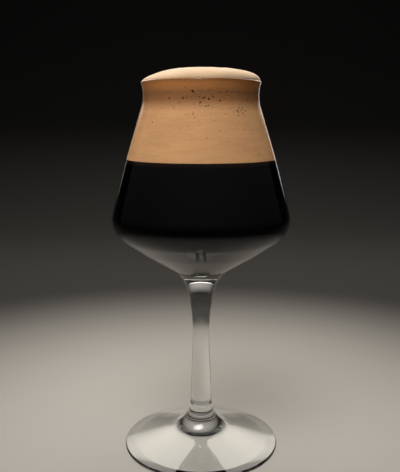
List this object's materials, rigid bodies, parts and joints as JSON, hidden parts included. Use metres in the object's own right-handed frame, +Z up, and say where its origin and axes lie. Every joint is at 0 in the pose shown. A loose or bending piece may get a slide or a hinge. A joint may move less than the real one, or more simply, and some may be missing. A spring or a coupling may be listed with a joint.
{
  "type": "pint of stout",
  "caption": "Stemmed beer glass with a wide conical bowl, filled with near-black stout under a tall tan head of foam that domes above the rim.",
  "frame": {"origin": "centre of the foot, on the surface the glass stands on", "axes": "+Z up the axis of the glass; +X and +Y are free, because the part is turned"},
  "size_m": [0.0984, 0.0984, 0.2146],
  "materials": {
    "glass": "clear, polished",
    "stout": "near-black drink, still",
    "foam": "tan foam, fine bubbles, matt"
  },
  "bodies": {
    "root": {"glass": "glass", "stout": "stout", "foam_head": "foam"}
  },
  "joints": []
}
